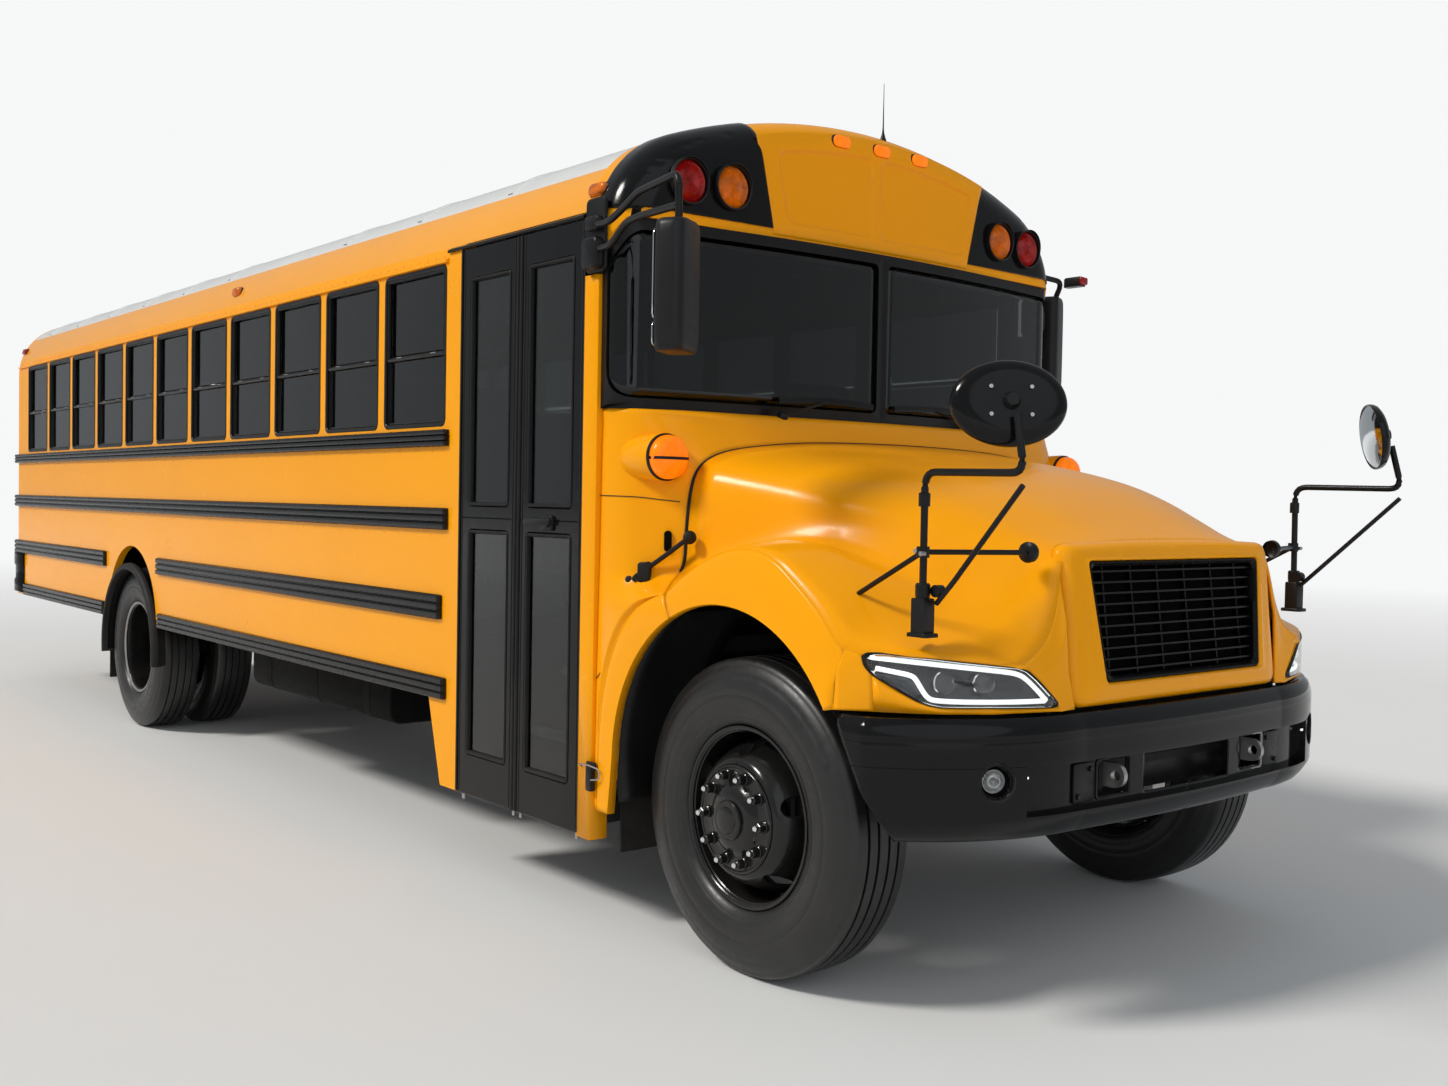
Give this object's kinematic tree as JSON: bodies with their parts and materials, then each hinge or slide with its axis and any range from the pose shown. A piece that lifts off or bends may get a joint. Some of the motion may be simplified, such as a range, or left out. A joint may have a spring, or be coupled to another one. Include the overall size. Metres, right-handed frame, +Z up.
{
  "type": "school bus",
  "caption": "Long-nosed yellow school bus with a ribbed black rail-trimmed body, split side windows, a two-leaf entrance door and a tilting hood.",
  "frame": {"origin": "centre of the bus's outline, on the ground", "axes": "+X forward along the bus, +Y to its left, +Z up"},
  "size_m": [10.3328, 2.964, 3.259],
  "materials": {
    "amber_lens": "gloss",
    "bare_aluminium": "satin",
    "bench_vinyl": "satin",
    "black_plastic": "matte",
    "black_rubber": "matte",
    "body_yellow": "gloss",
    "cast_iron": "matte",
    "chassis_black": "satin",
    "clear_glass": "gloss",
    "floor_rubber": "matte",
    "gloss_black": "gloss",
    "lamp_clear": "gloss",
    "red_lens": "gloss",
    "roof_white": "gloss",
    "steel": "satin",
    "stop_red": "satin",
    "tinted_glass": "gloss",
    "tyre": "matte",
    "wheel_black": "gloss"
  },
  "bodies": {
    "bus": {"antenna": "black_plastic", "arch_flares": "black_rubber", "bench_frames": "steel", "bench_pads": "bench_vinyl", "bumper_front": "gloss_black", "bumper_rear": "gloss_black", "cabin_floor": "floor_rubber", "chassis_frame": "chassis_black", "cowl": "body_yellow", "dashboard": "black_plastic", "driver_seat": "bench_vinyl", "driveshaft": "chassis_black", "engine": "cast_iron", "entrance_steps": "floor_rubber", "exhaust": "steel", "front_axle": "chassis_black", "front_cap": "body_yellow", "fuel_tank": "chassis_black", "lamps_amber": "amber_lens", "lamps_red": "red_lens", "leaf_springs": "steel", "mud_flaps": "black_rubber", "radiator": "bare_aluminium", "rear_axle": "chassis_black", "rear_view_mirrors": "black_plastic", "rear_wall": "body_yellow", "roof": "roof_white", "rub_rails": "chassis_black", "side_glass": "tinted_glass", "side_wall_left": "body_yellow", "side_wall_right": "body_yellow", "steering_wheel": "black_plastic", "stop_arm_base": "chassis_black", "window_frames": "gloss_black", "windshield": "clear_glass", "windshield_frame": "black_rubber", "wipers": "black_plastic"},
    "hood": {"hood": "body_yellow", "grille": "gloss_black", "headlamps": "lamp_clear", "cross_view_mirrors": "black_plastic"},
    "door_rear": {"door_leaf_rear": "gloss_black", "door_glass_rear": "clear_glass"},
    "door_front": {"door_leaf_front": "gloss_black", "door_glass_front": "clear_glass"},
    "rear_door": {"emergency_door": "body_yellow", "emergency_door_glass": "tinted_glass"},
    "hatch": {"roof_hatch": "roof_white"},
    "stop_sign": {"stop_arm": "stop_red"},
    "steer_right": {"knuckle_right": "chassis_black"},
    "steer_left": {"knuckle_left": "chassis_black"},
    "front_wheel_right": {"wheel_front_right": "wheel_black", "tyre_front_right": "tyre"},
    "front_wheel_left": {"wheel_front_left": "wheel_black", "tyre_front_left": "tyre"},
    "rear_wheels_right": {"wheels_rear_right": "wheel_black", "tyres_rear_right": "tyre"},
    "rear_wheels_left": {"wheels_rear_left": "wheel_black", "tyres_rear_left": "tyre"}
  },
  "joints": [
    {"name": "hood_tilt", "type": "hinge", "parent": "bus", "child": "hood", "pos_m": [4.9736, 0, 0.9], "axis": [0, 1, 0], "range_deg": [0, 65]},
    {"name": "door_rear_swing", "type": "hinge", "parent": "bus", "child": "door_rear", "pos_m": [2.3486, -1.232, 1.4], "axis": [0, 0, -1], "range_deg": [0, 85]},
    {"name": "door_front_swing", "type": "hinge", "parent": "bus", "child": "door_front", "pos_m": [3.2426, -1.232, 1.4], "axis": [0, 0, 1], "range_deg": [0, 85]},
    {"name": "rear_door_swing", "type": "hinge", "parent": "bus", "child": "rear_door", "pos_m": [-5.0994, -0.462, 1.7], "axis": [0, 0, 1], "range_deg": [0, 95]},
    {"name": "hatch_lift", "type": "hinge", "parent": "bus", "child": "hatch", "pos_m": [0.7086, 0, 3.047], "axis": [0, 1, 0], "range_deg": [0, 60]},
    {"name": "stop_sign_swing", "type": "hinge", "parent": "bus", "child": "stop_sign", "pos_m": [2.0236, 1.262, 1.585], "axis": [0, 0, -1], "range_deg": [0, 90]},
    {"name": "steer_right", "type": "hinge", "parent": "bus", "child": "steer_right", "pos_m": [4.0486, -0.88, 0.52], "axis": [0, 0, 1], "range_deg": [-35, 35]},
    {"name": "steer_left", "type": "hinge", "parent": "bus", "child": "steer_left", "pos_m": [4.0486, 0.88, 0.52], "axis": [0, 0, 1], "range_deg": [-35, 35]},
    {"name": "spin_front_right", "type": "hinge", "parent": "steer_right", "child": "front_wheel_right", "pos_m": [4.0486, -0.995, 0.52], "axis": [0, 1, 0], "continuous": true},
    {"name": "spin_front_left", "type": "hinge", "parent": "steer_left", "child": "front_wheel_left", "pos_m": [4.0486, 0.995, 0.52], "axis": [0, 1, 0], "continuous": true},
    {"name": "spin_rear_right", "type": "hinge", "parent": "bus", "child": "rear_wheels_right", "pos_m": [-2.0334, -0.8885, 0.52], "axis": [0, 1, 0], "continuous": true},
    {"name": "spin_rear_left", "type": "hinge", "parent": "bus", "child": "rear_wheels_left", "pos_m": [-2.0334, 0.8885, 0.52], "axis": [0, 1, 0], "continuous": true}
  ],
  "couplings": [
    {"joint": "door_front_swing", "follows": "door_rear_swing", "ratio": 1},
    {"joint": "steer_left", "follows": "steer_right", "ratio": 1}
  ]
}
